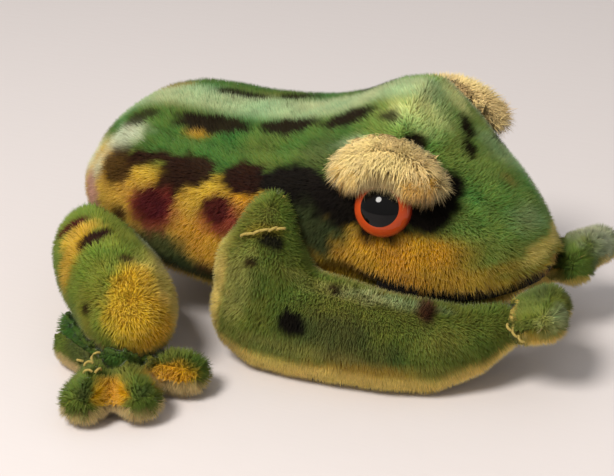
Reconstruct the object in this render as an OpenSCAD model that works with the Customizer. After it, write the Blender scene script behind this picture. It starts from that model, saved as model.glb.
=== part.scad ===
// Stuffed plush frog that sits with its arms folded in front of the chin.
// Millimetres. +X is forward, +Y is the frog's left, +Z is up.
// The origin is on the table, under the middle of the overall box.
// Every cover is the cloth with its pile, so its outer face is where the pile ends.

/* [Cover] */
// Thickness of the cloth with its pile
cover_t = 5; // [3:0.5:7]
// Gap between a cover and the stuffing inside it
fill_gap = 0.35; // [0.1:0.05:0.6]
// Gap between a limb and whatever it is sewn to
sewn_gap = 0.4; // [0.3:0.05:1]
// Angle of the seam between the back and a side, from straight up
ridge_angle = 36; // [25:1:50]

/* [Body] */
// Rearmost point of the rump
rump_x = -96; // [-105:0.5:-88]
// Length over which the rump rounds off in plan
rump_round = 44; // [34:1:60]
// Length over which the rump rounds off in height
rump_drop = 27; // [18:1:40]
// Height of the hump over the hips
hump_h = 74; // [66:0.5:82]
// Half of the width at the hips
hip_w = 40; // [34:0.5:48]
// Height of the middle of the back
back_h = 73; // [66:0.5:80]
// Half of the width of the middle of the back
back_w = 43; // [36:0.5:50]
// Height of the shoulders
shoulder_h = 77.5; // [68:0.5:84]
// Half of the width at the shoulders
shoulder_w = 42.5; // [38:0.5:48]
// Height of the belly under the hips
rump_clear = 14; // [10:0.5:20]
// Height of the belly under the shoulders
belly_clear = 6; // [3:0.5:12]

/* [Head] */
// Foremost point of the snout
snout_x = 80; // [74:0.5:84]
// Length over which the snout rounds off in plan
snout_round = 56; // [44:1:66]
// Length over which the snout rounds off in height
snout_drop = 24; // [16:1:32]
// Height of the top of the head
head_h = 91; // [82:0.5:95]
// Half of the width of the jaw
jaw_w = 41; // [36:0.5:46]
// Height of the bridge of the snout
bridge_h = 68; // [60:0.5:76]
// Height of the mouth corner
mouth_corner_h = 40; // [36:0.5:44]
// Height of the lip at the front
lip_h = 31; // [27:0.5:35]
// Depth by which the throat is set in under the lip
lip_inset = 4; // [3:0.25:6]
// Height of the felt in the mouth
felt_h = 3; // [2:0.5:5]
// Thickness of the felt in the mouth
felt_t = 1.6; // [1:0.1:2.4]

/* [Eyes] */
// Diameter of the glass
eye_d = 19; // [16:0.5:23]
// Height of the glass
eye_dome = 9; // [7:0.5:11]
// Depth by which the glass sits in the cover
eye_sink = 2.5; // [1.5:0.25:3.5]
// Gap around the glass
eye_gap = 0.25; // [0.1:0.05:0.6]
// Place of the eye along the head
eye_x = 32; // [27:0.5:37]
// Height of the eye
eye_z = 60; // [55:0.5:64]
// Angle by which the eye looks up
eye_up = 24; // [14:1:34]
// Angle by which the eye looks forward
eye_fwd = 8; // [0:1:20]
// Diameter of the pupil
pupil_d = 12.5; // [9:0.5:14]
// Depth of the pupil
pupil_t = 3.5; // [2:0.25:5]
// Diameter of the shank wire
shank_d = 1.6; // [1:0.1:2.2]
// Length of the shank behind the glass
shank_len = 15; // [12:0.5:18]
// Diameter of the loop at the end of the shank
loop_d = 6; // [4.5:0.5:7]
// Distance from the middle of the eye to the middle of the eyelid
lid_r = 13.5; // [12:0.5:16]
// Half of the thickness of the eyelid
lid_t = 10.5; // [8:0.5:12]
// Angle by which the eyelid reaches behind the top of the eye
lid_rear_angle = 58; // [50:1:70]
// Angle by which the eyelid reaches in front of the top of the eye
lid_front_angle = 70; // [60:1:80]

/* [Arm] */
// Half of the thickness of the arm, outwards
arm_t = 12.5; // [10:0.5:15]
// Half of the height of the elbow
elbow_r = 20.5; // [17:0.5:23]
// Half of the height of the forearm
forearm_r = 16; // [14:0.5:19]
// Half of the width of the upper arm
upper_r = 15.5; // [12:0.5:18]
// Radius of the round end of the arm
wrist_r = 9.5; // [8:0.5:10.5]
// Room between the round end of the arm and the hand that turns on it
wrist_gap = 1.1; // [1:0.05:1.6]
// Place of the wrist along the frog
wrist_x = 68; // [64:0.5:72]
// Place of the wrist from the middle of the frog
wrist_y = 29; // [26:0.5:33]
// Height of the wrist
wrist_z = 20; // [17:0.5:23]
// Half of the thickness of a finger
finger_r = 8; // [6.5:0.5:9]
// Length of a finger from the wrist
finger_len = 27.5; // [24:0.5:31]
// Angle by which the palm tips up
palm_tip = 24; // [15:1:35]

/* [Leg] */
// Place of the root of the thigh along the frog
hip_x = -82; // [-88:1:-76]
// Place of the root of the thigh from the middle of the frog
hip_y = 24; // [20:1:28]
// Height of the root of the thigh
hip_z = 27; // [24:0.5:31]
// Half of the thickness of the thigh
thigh_r = 17.5; // [14:0.5:20]
// Place of the knee along the frog
knee_x = -32; // [-40:1:-26]
// Place of the knee from the middle of the frog
knee_y = 84; // [78:1:90]
// Length of the shin
shin_len = 44.5; // [40:0.5:50]
// Half of the thickness of the shin
shin_r = 9; // [7:0.5:11]
// Half of the thickness of a toe
toe_r = 10; // [8:0.5:12]
// Length of a toe from the ball of the foot
toe_len = 34; // [28:1:40]
// Thickness of the sole of the foot
sole_t = 4; // [3:0.5:5]

/* [Hidden] */
tail_x = rump_x + 16;
hump_x = -62;
back_x = -30;
corner_x = 16;
bridge_x = 57;
rings = 20;
top_n = 4;
side_n = 5;
belly_n = 6;
arm_y = shoulder_w + 6;
press = 0.5;
middle_x = 1.3;
// One row of the body: place, top, widest level, underside, half width, lower seam, roundness
rows = [
    [rump_x, hump_h - 17, 38, rump_clear + 3, hip_w - 4, 31, 2.2],
    [tail_x, hump_h - 7, 39, rump_clear + 1, hip_w - 2, 29, 2.3],
    [hump_x, hump_h, 41, rump_clear, hip_w, 26, 2.6],
    [back_x, back_h, 40, (rump_clear + belly_clear) / 2, back_w, 21, 2.7],
    [0, shoulder_h, 42, belly_clear, shoulder_w, 34, 2.5],
    [corner_x, head_h - 5, mouth_corner_h, belly_clear - 1, jaw_w + 1, mouth_corner_h, 2.4],
    [eye_x, head_h, lip_h + 3, belly_clear, jaw_w, lip_h + 3, 2.3],
    [bridge_x, bridge_h, lip_h, belly_clear + 3, jaw_w - 1, lip_h, 2.2],
    [snout_x, bridge_h - 14, lip_h + 2, lip_h - 14, jaw_w - 2, lip_h + 2, 2.1]
];
wrist = [wrist_x, -wrist_y, wrist_z];
wrist_dir = [0.77, 0.61, 0.19];
// Forearm and upper arm: place, then half sizes outwards and across
forearm_rows = [
    [-24, -arm_y + 1, 22, arm_t - 1.5, elbow_r - 3],
    [-4, -arm_y - 0.5, elbow_r - press, arm_t, elbow_r],
    [18, -arm_y, elbow_r - 1 - press, arm_t, elbow_r - 1],
    [38, -arm_y + 2.5, elbow_r - 3 - press, arm_t - 0.5, elbow_r - 3],
    [55, -arm_y + 9, wrist_z - 4, arm_t - 1.5, forearm_r],
    [wrist_x, -wrist_y, wrist_z, wrist_r, wrist_r],
    [for (v = [wrist + wrist_r * wrist_dir, [wrist_r, wrist_r]]) each v]
];
upper_rows = [
    [-3, -arm_y + 10, 61, 8, upper_r - 8],
    [-4, -arm_y + 3.5, 50, arm_t - 2.5, upper_r - 4.5],
    [-4.5, -arm_y, 38, arm_t - 0.5, upper_r + 3],
    [-5, -arm_y, 22, arm_t - 0.5, upper_r + 3]
];
knee_z = thigh_r + 3.5;
leg_x = knee_x - hip_x;
leg_y = knee_y - hip_y;
leg_z = hip_z - knee_z;
thigh_rows = [
    [hip_x, -hip_y, hip_z, thigh_r - 3, thigh_r - 3],
    [hip_x + 0.26 * leg_x, -hip_y - 0.37 * leg_y, hip_z - 0.23 * leg_z, thigh_r - 1, thigh_r - 1],
    [hip_x + 0.66 * leg_x, -hip_y - 0.68 * leg_y, hip_z - 0.55 * leg_z, thigh_r, thigh_r],
    [knee_x, -knee_y, knee_z, thigh_r - 2.5, thigh_r - 2.5]
];
ankle = [knee_x - 0.9 * shin_len, -knee_y + 0.45 * shin_len, shin_r + 1];
ball = [knee_x - 13, -knee_y + 4, toe_r - 2 - press];
shin_rows = [
    [knee_x - 1, -knee_y - 1, shin_r + 5, shin_r, shin_r],
    [knee_x - 0.45 * shin_len, -knee_y + 0.225 * shin_len, shin_r + 2, shin_r, shin_r],
    [ankle[0], ankle[1], ankle[2], shin_r, shin_r]
];
toe_turns = [-82, -42, 8];
finger_turns = [-9, 18, 43];
finger_rise = [23, 28, 17];
eye_y = half_width(eye_x, eye_z);
eye_at = [eye_x, -eye_y, eye_z];
eye_dir = [sin(eye_fwd) * cos(eye_up), -cos(eye_fwd) * cos(eye_up), sin(eye_up)];
glass_r = ((eye_d / 2) ^ 2 + (eye_dome - 2) ^ 2) / 2 / (eye_dome - 2);
$fn = 64;

// Point of a smooth line through the rows of the body at place x
function row_at(x, i = 1) =
    i >= len(rows) - 1 || x <= rows[i][0] ? row_mix(x, i) : row_at(x, i + 1);
function row_mix(x, i) =
    let(
        a = rows[i - 1],
        b = rows[i],
        h = b[0] - a[0],
        t = (x - a[0]) / h,
        ma = i > 1 ? (b - rows[i - 2]) / (b[0] - rows[i - 2][0]) : (b - a) / h,
        mb = i < len(rows) - 1 ? (rows[i + 1] - a) / (rows[i + 1][0] - a[0]) : (b - a) / h
    )
    (2 * t * t * t - 3 * t * t + 1) * a + (t * t * t - 2 * t * t + t) * h * ma
    + (3 * t * t - 2 * t * t * t) * b + (t * t * t - t * t) * h * mb;

// Share of a section that is left where an end rounds off
function round_end(f) = f > 0.9999 ? 0 : sqrt(1 - f * f);
function round_off(x, x0, r0, x1, r1) =
    x < x0 + r0 ? round_end((x0 + r0 - x) / r0)
    : x > x1 - r1 ? round_end((x - x1 + r1) / r1) : 1;
function body_x(i, d) =
    (rump_x + snout_x) / 2 - (snout_x - rump_x - 2 * d) / 2 * cos(180 * i / rings);
function sgn_pow(v, e) = sign(v) * pow(abs(v), e);
function half_width(x, z) =
    let(
        r = row_at(x),
        pw = round_off(x, rump_x, rump_round, snout_x, snout_round),
        ph = round_off(x, rump_x, rump_drop, snout_x, snout_drop),
        h = (z > r[2] ? r[1] - r[2] : r[2] - r[3]) * ph
    )
    r[4] * pw * pow(max(0, 1 - pow(abs(z - r[2]) / h, r[6])), 1 / r[6]);

// Section of the body at ring i, set in by d: place, level, half width, up, down, n, seam
function section(i, d) =
    let(
        x = body_x(i, d),
        r = row_at(x),
        pw = round_off(x, rump_x + d, rump_round - d, snout_x - d, snout_round - d),
        ph = round_off(x, rump_x + d, rump_drop - d, snout_x - d, snout_drop - d)
    )
    [x, r[2], (r[4] - d) * pw, (r[1] - r[2] - d) * ph, (r[2] - r[3] - d) * ph, r[6], r[5]];
// Point of a section at an angle from straight up, towards the frog's right
function on_section(s, a) =
    [s[0], -s[2] * sgn_pow(sin(a), 2 / s[5]),
     s[1] + (cos(a) > 0 ? s[3] : s[4]) * sgn_pow(cos(a), 2 / s[5])];
// Angle of the lower seam of a section
function seam_angle(s) =
    s[6] >= s[1] - 0.01 ? 90
    : acos(-min(0.85, pow(min(1, (s[1] - s[6]) / max(s[4], 0.01)), s[5] / 2)));
function arc(s, a0, a1, n) = [for (j = [0:n]) on_section(s, a0 + (a1 - a0) * j / n)];
function back_arc(i, d) = arc(section(i, d), -ridge_angle, ridge_angle, top_n);
function right_arc(i, d) = let(s = section(i, d)) arc(s, ridge_angle, seam_angle(s), side_n);
function left_arc(i, d) = let(s = section(i, d)) arc(s, -seam_angle(s), -ridge_angle, side_n);
// Depth by which the throat is set in at a place along the body
function throat(x) =
    let(t = max(0, min(1, (x - corner_x + 6) / 16)))
    lip_inset * t * t * (3 - 2 * t);
function belly_arc(i, d) =
    let(s = section(i, d + throat(body_x(i, d))), a = seam_angle(s))
    arc(s, a, 360 - a, belly_n);

// Solids from grids of points
function flat(a) = [for (r = a) for (p = r) p];
function quads(nr, nc, o) =
    [for (r = [0:nr - 2]) for (c = [0:nc - 2])
        let(a = o + r * nc + c, b = a + 1, e = a + nc, f = e + 1) each [[a, b, f], [a, f, e]]];
function turned(fs) = [for (f = fs) [f[0], f[2], f[1]]];
function wall(ks, o, step) =
    [for (k = ks) each [[k, o + k, o + k + step], [k, o + k + step, k + step]]];
function kept(ps, fs) =
    [for (f = fs) if (norm(ps[f[0]] - ps[f[1]]) > 1e-4 && norm(ps[f[1]] - ps[f[2]]) > 1e-4
        && norm(ps[f[2]] - ps[f[0]]) > 1e-4) [f[0], f[2], f[1]]];
// Shell between an outer and an inner grid, with its four edges closed
module shell(outer, inner) {
    nr = len(outer);
    nc = len(outer[0]);
    o = nr * nc;
    ps = concat(flat(outer), flat(inner));
    edge = concat(
        wall([for (c = [0:nc - 2]) c], o, 1),
        turned(wall([for (c = [0:nc - 2]) (nr - 1) * nc + c], o, 1)),
        turned(wall([for (r = [0:nr - 2]) r * nc], o, nc)),
        wall([for (r = [0:nr - 2]) r * nc + nc - 1], o, nc));
    polyhedron(ps, kept(ps, concat(quads(nr, nc, 0), turned(quads(nr, nc, o)), edge)));
}
// Solid of closed rings, whose first and last ring are points
module tube(rs) {
    nc = len(rs[0]) + 1;
    ps = flat([for (r = rs) concat(r, [r[0]])]);
    polyhedron(ps, kept(ps, quads(len(rs), nc, 0)));
}
// The whole body with a plain throat, set in by d, for cutting what is sewn to it
function whole_ring(i, d) =
    let(s = section(i, d), a = seam_angle(s))
    concat(back_arc(i, d), right_arc(i, d), arc(s, a, 360 - a, belly_n), left_arc(i, d));
module trunk_solid(d) {
    tube([for (i = [0:rings]) whole_ring(i, d)]);
}
// Stuffed shapes are worked as one mesh
module sewn() {
    resize([0, 0, 0])
        children();
}
module facing(at, dir) {
    translate(at)
        rotate([0, acos(dir[2] / norm(dir)), atan2(dir[1], dir[0])])
            children();
}
module table() {
    translate([-150, -150, -60])
        cube([300, 300, 60]);
}

// Limbs
function mix_row(rs, t) =
    let(
        n = len(rs) - 1,
        i = min(n - 1, floor(t * n)),
        u = t * n - i,
        p = rs[max(0, i - 1)],
        a = rs[i],
        b = rs[i + 1],
        q = rs[min(n, i + 2)]
    )
    0.5 * (2 * a + (b - p) * u + (2 * p - 5 * a + 4 * b - q) * u * u
    + (3 * a - p - 3 * b + q) * u * u * u);
function v3(r) = [r[0], r[1], r[2]];
function unit(v) = v / norm(v);
// Length along the rows of a limb
function run(rs, i = 1) = i == len(rs) ? 0 : norm(v3(rs[i] - rs[i - 1])) + run(rs, i + 1);
// Ring k of n of a limb set in by d, out is the way it faces, c0 and c1 are its rounded ends
function limb_ring(rs, out, k, n, m, d, c0, c1) =
    let(
        e = d / run(rs),
        t = 0.5 - (0.5 - e) * cos(180 * k / n),
        r = mix_row(rs, max(0, min(1, t))),
        near = max(0, min(0.98, t - 0.01)),
        w = unit(v3(mix_row(rs, min(1, near + 0.02))) - v3(mix_row(rs, near))),
        u = unit(out - (out * w) * w),
        v = cross(w, u),
        f = t < c0 ? round_end((c0 - t) / (c0 - e))
            : t > 1 - c1 ? round_end((t - 1 + c1) / (c1 - e)) : 1
    )
    [for (j = [0:m - 1])
        v3(r) + (min(0, t) * run(rs)) * w + (max(0, t - 1) * run(rs)) * w
        + f * (r[3] - d) * cos(360 * j / m) * u + f * (r[4] - d) * sin(360 * j / m) * v];
module limb(rs, out, n, m, d, c0, c1) {
    tube([for (k = [0:n]) limb_ring(rs, out, k, n, m, d, c0, c1)]);
}
module arm_solid(d) {
    limb(forearm_rows, [0, -1, 0], 12, 12, d, 0.14, 1 / 6);
    limb(upper_rows, [0, -1, 0], 7, 10, d, 0.25, 0.25);
}
module thigh_solid(d) {
    limb(thigh_rows, [-0.5, 0, 0.8], 9, 12, d, 0.2, 0.26);
}
module shin_solid(d) {
    limb(shin_rows, [0, 0, 1], 7, 8, d, 0.2, 0.2);
}
function toe_rows(i) =
    let(q = [cos(toe_turns[i]), sin(toe_turns[i])], l = toe_len)
    [for (k = [0.06, 0.5, 1])
        [ball[0] + k * l * q[0], ball[1] + k * l * q[1], ball[2] + 0.3 * i,
         toe_r - 2 + 2 * k * k, toe_r - 2 + 0.5 * k]];
instep_rows = [
    [ankle[0] + 2, ankle[1] - 8, toe_r - 2 - press, toe_r - 2, toe_r - 2],
    [(ankle[0] + ball[0]) / 2, (ankle[1] + ball[1]) / 2 - 3, toe_r - 2 - press, toe_r - 1, toe_r - 2],
    [ball[0] + 6, ball[1] - 5, toe_r - 2 - press, toe_r, toe_r - 2]
];
module foot_solid(d) {
    limb(instep_rows, [0.6, 0.8, 0], 6, 8, d, 0.25, 0.25);
    for (i = [0:2])
        limb(toe_rows(i), [0.7, 0.7, 0], 6, 8, d, 0.3, 0.3);
}
function finger_rows(i) =
    let(
        a = finger_turns[i],
        b = finger_rise[i],
        q = [cos(a) * cos(b), sin(a) * cos(b), sin(b)]
    )
    [for (k = [0.2, 0.6, 1])
        let(p = wrist + k * finger_len * q)
        [p[0], p[1], p[2], finger_r - 1 + k * k, finger_r - 0.5 + 0.5 * k * k]];
module hand_solid(d) {
    for (i = [0:2])
        limb(finger_rows(i), [0, 0, 1], 6, 8, d, 0.3, 0.36);
}

// Eyes
module eye_room(more) {
    facing(eye_at, eye_dir)
        translate([0, 0, -eye_sink])
            cylinder(d = eye_d + 2 * more, h = 30, $fn = 32);
}
module shank_room() {
    facing(eye_at, eye_dir)
        translate([0, 0, -eye_sink - shank_len - loop_d - shank_d])
            cylinder(d = loop_d + 2 * shank_d, h = shank_len + loop_d + shank_d + 1, $fn = 16);
}
module eye_glass() {
    color("darkorange")
        facing(eye_at, eye_dir)
            translate([0, 0, -eye_sink])
                difference() {
                    dome();
                    translate([0, 0, eye_dome - pupil_t])
                        cylinder(d = pupil_d, h = pupil_t + 1);
                }
}
module dome() {
    intersection() {
        cylinder(d = eye_d, h = eye_dome);
        translate([0, 0, eye_dome - glass_r])
            sphere(r = glass_r);
    }
}
module eye_pupil() {
    color("black")
        facing(eye_at, eye_dir)
            translate([0, 0, -eye_sink])
                intersection() {
                    dome();
                    translate([0, 0, eye_dome - pupil_t])
                        cylinder(d = pupil_d - 0.02, h = pupil_t + 1);
                }
}
module eye_shank() {
    color("silver")
        facing(eye_at, eye_dir)
            translate([0, 0, -eye_sink - shank_len]) {
                cylinder(d = shank_d, h = shank_len);
                translate([0, 0, -loop_d / 2])
                    rotate([90, 0, 0])
                        rotate_extrude()
                            translate([loop_d / 2, 0])
                                circle(d = shank_d, $fn = 24);
            }
}
function lid_rows() =
    let(z = eye_dir, x = unit(cross([0, 0, 1], z)), y = cross(z, x))
    [for (a = [-lid_rear_angle, -lid_rear_angle / 2, 0, lid_front_angle / 2, lid_front_angle])
        let(
            p = eye_at + lid_r * (1.3 * sin(a) * x + cos(a) * y) - 0.5 * z,
            r = lid_t * (1 - 0.35 * pow(a / lid_front_angle, 2))
        )
        [p[0], p[1], p[2], r, r]];
module eyelid() {
    color("ivory")
        sewn()
            difference() {
                limb(lid_rows(), eye_dir, 9, 8, 0, 0.22, 0.22);
                trunk_solid(-fill_gap);
                eye_room(eye_gap);
            }
}

// Body
module back_panel() {
    color("olivedrab")
        shell([for (i = [0:rings]) back_arc(i, 0)], [for (i = [0:rings]) back_arc(i, cover_t)]);
}
module side_panel() {
    color("goldenrod")
        sewn()
            difference() {
                shell([for (i = [0:rings]) right_arc(i, 0)], [for (i = [0:rings]) right_arc(i, cover_t)]);
                eye_room(eye_gap);
                shank_room();
            }
}
module belly_panel() {
    color("wheat")
        shell([for (i = [0:rings]) belly_arc(i, 0)], [for (i = [0:rings]) belly_arc(i, cover_t)]);
}
function core_ring(i) =
    let(d = cover_t + fill_gap)
    concat(back_arc(i, d), right_arc(i, d), belly_arc(i, d), left_arc(i, d));
module body_stuffing() {
    color("tan")
        sewn()
            difference() {
                tube([for (i = [0:rings]) core_ring(i)]);
                shank_room();
                mirror([0, 1, 0])
                    shank_room();
            }
}
function felt_row(i, s, d) =
    let(p = on_section(section(i, d), 90 * s))
    [p - [0, 0, fill_gap], p - [0, 0, fill_gap + felt_h]];
module mouth_felt() {
    i0 = 13;
    d0 = lip_inset - felt_t - fill_gap;
    d1 = lip_inset - fill_gap;
    color("saddlebrown")
        shell(
            concat([for (i = [i0:rings]) felt_row(i, 1, d0)], [for (i = [rings - 1:-1:i0]) felt_row(i, -1, d0)]),
            concat([for (i = [i0:rings]) felt_row(i, 1, d1)], [for (i = [rings - 1:-1:i0]) felt_row(i, -1, d1)]));
}

// Limbs, each a cover with its stuffing
module arm() {
    color("darkolivegreen")
        sewn()
            difference() {
                arm_solid(0);
                trunk_solid(-sewn_gap);
                table();
            }
}
module hand() {
    difference() {
        hand_solid(0);
        translate(wrist)
            sphere(r = wrist_r + wrist_gap, $fn = 24);
        trunk_solid(-sewn_gap);
    }
}
// Everything below the seam between the back of the hand and its palm
module palm_side() {
    translate(wrist + [0, 0, -1.5])
        rotate([0, -palm_tip, 0])
            translate([-40, -50, -60])
                cube([100, 100, 60]);
}
module hand_back() {
    color("green")
        sewn()
            difference() {
                hand();
                palm_side();
            }
}
module hand_palm() {
    color("wheat")
        sewn()
            intersection() {
                hand();
                palm_side();
            }
}
module thigh() {
    color("yellowgreen")
        sewn()
            difference() {
                thigh_solid(0);
                trunk_solid(-sewn_gap);
                table();
            }
}
module shin() {
    color("darkgreen")
        sewn()
            difference() {
                shin_solid(0);
                thigh_solid(-fill_gap);
                table();
            }
}
module foot() {
    difference() {
        foot_solid(0);
        shin_solid(-2 * fill_gap);
        thigh_solid(-fill_gap);
        table();
    }
}
module sole_side() {
    translate([-150, -150, -1])
        cube([300, 300, sole_t + 1]);
}
module foot_upper() {
    color("seagreen")
        sewn()
            difference() {
                foot();
                sole_side();
            }
}
module foot_sole() {
    color("wheat")
        sewn()
            intersection() {
                foot();
                sole_side();
            }
}
// The origin is under the middle of the overall box
module placed() {
    translate([middle_x, 0, 0])
        children();
}
module left() {
    mirror([0, 1, 0])
        children();
}

placed() back_panel();
placed() side_panel();  // right_side_panel
placed() left() side_panel();  // left_side_panel
placed() belly_panel();
placed() body_stuffing();
placed() mouth_felt();
placed() eyelid();  // right_eyelid
placed() left() eyelid();  // left_eyelid
placed() eye_glass();  // right_eye_glass
placed() left() eye_glass();  // left_eye_glass
placed() eye_pupil();  // right_eye_pupil
placed() left() eye_pupil();  // left_eye_pupil
placed() eye_shank();  // right_eye_shank
placed() left() eye_shank();  // left_eye_shank
placed() arm();  // right_arm
placed() left() arm();  // left_arm
placed() hand_back();  // right_hand_back
placed() left() hand_back();  // left_hand_back
placed() hand_palm();  // right_hand_palm
placed() left() hand_palm();  // left_hand_palm
placed() thigh();  // right_thigh
placed() left() thigh();  // left_thigh
placed() shin();  // right_shin
placed() left() shin();  // left_shin
placed() foot_upper();  // right_foot_upper
placed() left() foot_upper();  // left_foot_upper
placed() foot_sole();  // right_foot_sole
placed() left() foot_sole();  // left_foot_sole
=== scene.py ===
"""Looks of a stuffed mohair frog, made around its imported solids."""

import math

import bmesh
import bpy
import numpy as np
from mathutils import Matrix, Vector, kdtree
from mathutils.bvhtree import BVHTree


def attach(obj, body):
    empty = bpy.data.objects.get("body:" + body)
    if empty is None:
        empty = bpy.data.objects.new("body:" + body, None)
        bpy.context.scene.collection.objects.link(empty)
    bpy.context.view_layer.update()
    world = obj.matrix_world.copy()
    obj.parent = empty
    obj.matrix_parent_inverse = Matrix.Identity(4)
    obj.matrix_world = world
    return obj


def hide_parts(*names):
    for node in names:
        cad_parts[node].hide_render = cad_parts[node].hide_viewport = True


bl_info = {
    "name": "Mohair Frog",
    "version": (1, 0, 0),
    "blender": (4, 5, 0),
    "location": "View3D > Sidebar > Frog",
    "description": "Dresses the solids of a stuffed frog in mohair, glass and felt",
    "category": "Object",
}

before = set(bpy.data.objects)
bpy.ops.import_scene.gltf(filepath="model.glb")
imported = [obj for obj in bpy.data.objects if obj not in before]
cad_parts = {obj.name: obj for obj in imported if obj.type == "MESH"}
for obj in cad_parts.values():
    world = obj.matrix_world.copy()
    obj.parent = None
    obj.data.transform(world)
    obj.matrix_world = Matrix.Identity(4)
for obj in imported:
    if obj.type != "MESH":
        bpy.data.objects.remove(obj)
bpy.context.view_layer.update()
MM = 0.001
SIDES = (("right", -1), ("left", 1))

# ---------------------------------------------------------------- settings


def srgb(code):
    """Scene-linear colour of a six-digit code."""
    parts = [int(code[i : i + 2], 16) / 255 for i in (0, 2, 4)]
    return tuple(
        v / 12.92 if v <= 0.04045 else ((v + 0.055) / 1.055) ** 2.4 for v in parts
    )


def dye(label, code, use):
    """A colour that a user would change."""
    return bpy.props.FloatVectorProperty(
        name=label,
        description=use,
        subtype="COLOR",
        size=3,
        min=0,
        max=1,
        default=srgb(code),
    )


def length(label, value, use):
    """A size in metres that a user would change."""
    return bpy.props.FloatProperty(
        name=label, description=use, subtype="DISTANCE", unit="LENGTH", default=value
    )


class FrogDyes(bpy.types.PropertyGroup):
    """Colours sprayed on the pile."""

    green: dye("Green", "789441", "Ground of the head")
    deep: dye("Deep green", "4c6a28", "Ground of the back")
    # Painted highlight and sheen: this light green marks the top of the back and the lit rims
    # of the head, snout, arm and hand, besides one light patch by the eyelid.
    pale_and_sheen: dye("Pale green", "a9bd8a", "Rubbed pile along the spine")
    fresh: dye("Fresh green", "dde190", "Rubbed pile on the crown")
    mist: dye("Mist", "ccd2b4", "Palest patches on the hips and the head")
    olive: dye("Olive", "8a7636", "Faint spots")
    spot: dye("Spot", "1f1808", "Dark spots of the back")
    brown: dye("Brown", "2c1609", "Blotches along the sides")
    black: dye("Black", "15100a", "Round the eyes and behind them")
    gold: dye("Gold", "bd9427", "Ground of the sides")
    yellow: dye("Yellow", "cba32c", "Brightest strips between the blotches")
    ochre: dye("Ochre", "d79f14", "Band under the eye")
    amber: dye("Amber", "e4b62a", "Lit side of the thighs")
    tan: dye("Tan", "c38f22", "Pile along the lip and at the knees")
    maroon: dye("Maroon", "4c1613", "Round spots of the sides")
    crimson: dye("Crimson", "8c3426", "Edges of the round spots")
    pink: dye("Pink", "b98377", "Edge of the rump")
    cream: dye("Cream", "f6d66e", "Belly, inner sides of the arms, soles")
    shade: dye("Dark green", "4a552e", "Lower sides and feet")
    leaf: dye("Leaf green", "7a852c", "Ground of the thighs")
    fern: dye("Fern", "67732a", "Ground of the arms, the hands and the feet")
    moss: dye("Moss", "98974a", "Yellowish strips of the arms")
    brow: dye("Brow", "e9cd88", "Long pile of the eyelids")


class FrogPile(bpy.types.PropertyGroup):
    """Sizes of the cloth and its pile."""

    length: length("Length", 3.5 * MM, "Length of the pile")
    foot: length("Foot", 0.18 * MM, "Half of the thickness of a lock at its foot")
    brow: length("Brow length", 8.4 * MM, "Length of the pile of the eyelids")
    depth: length("Depth", 2.5 * MM, "Depth of the cloth under the ends of the pile")
    cloth: length("Cloth", 1.2 * MM, "Thickness of the backing cloth")
    groove: length("Groove", 0.9 * MM, "Depth to which a seam pulls the cloth in")
    lean: bpy.props.FloatProperty(
        name="Lean", description="How far the pile follows its brushing", default=0.6
    )
    scatter: bpy.props.FloatProperty(
        name="Scatter", description="How far locks lean at random", default=0.24
    )
    seed: bpy.props.IntProperty(
        name="Seed", description="Seed of everything random", default=11
    )


class FrogEyes(bpy.types.PropertyGroup):
    """Colours of the eyes and the mouth."""

    iris: dye("Iris", "b8461c", "Glass round the pupil")
    rim: dye("Rim", "6c2010", "Edge of the glass")
    pupil: dye("Pupil", "060505", "Middle of the eye")
    # Near black: the brown seam of the mouth together with painted shade for the fold under the
    # lip.
    felt: dye("Felt", "140e09", "Line of the mouth")
    thread: dye("Thread", "b59f55", "Closing stitches")


class FrogStage(bpy.types.PropertyGroup):
    """Floor, light and camera."""

    floor: dye("Floor", "d3cccb", "Table under the frog")
    key: bpy.props.FloatProperty(
        name="Key", description="Power of the lamp above", unit="POWER", default=16.0
    )
    sky: bpy.props.FloatProperty(
        name="Surround", description="Strength of the light all round", default=0.46
    )


# ---------------------------------------------------------------- numbers


def smooth(low, high, v):
    t = np.clip((v - low) / (high - low), 0, 1)
    return t * t * (3 - 2 * t)


def gathered(index, values, n):
    """Sum of the rows of values that share an index."""
    return np.stack([np.bincount(index, values[:, k], n) for k in range(3)], 1)


def unit(v):
    return v / np.maximum(np.linalg.norm(v, axis=1), 1e-12)[:, None]


def edges_of(quads):
    e = np.concatenate([quads[:, [k, (k + 1) % 4]] for k in range(4)])
    return np.unique(np.sort(e, 1), axis=0)


def normals_of(co, quads):
    q = co[quads]
    face = np.cross(q[:, 2] - q[:, 0], q[:, 3] - q[:, 1])
    total = sum(gathered(quads[:, k], face, len(co)) for k in range(4))
    return unit(total)


def relaxed(co, quads, rounds):
    """Smooths a mesh without shrinking it."""
    e = edges_of(quads)
    count = np.bincount(e.ravel(), minlength=len(co))[:, None]
    for _ in range(rounds):
        for step in (0.5, -0.52):
            near = gathered(e[:, 0], co[e[:, 1]], len(co))
            near += gathered(e[:, 1], co[e[:, 0]], len(co))
            co = co + step * (near / count - co)
    return co


def largest(co, quads):
    """The connected part with the most points."""
    e = edges_of(quads)
    label = np.arange(len(co))
    while True:
        low = np.minimum(label[e[:, 0]], label[e[:, 1]])
        after = label.copy()
        np.minimum.at(after, e[:, 0], low)
        np.minimum.at(after, e[:, 1], low)
        after = after[after]
        if (after == label).all():
            break
        label = after
    keep = label == np.bincount(label).argmax()
    place = np.cumsum(keep) - 1
    return co[keep], place[quads[keep[quads[:, 0]]]]


# ---------------------------------------------------------------- cloth


def solid_of(nodes):
    """One mesh of copies of these CAD nodes."""
    bm = bmesh.new()
    for n in nodes:
        bm.from_mesh(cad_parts[n].data)
    bmesh.ops.remove_doubles(bm, verts=bm.verts, dist=1e-6)
    me = bpy.data.meshes.new("solid")
    bm.to_mesh(me)
    bm.free()
    return me


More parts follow.
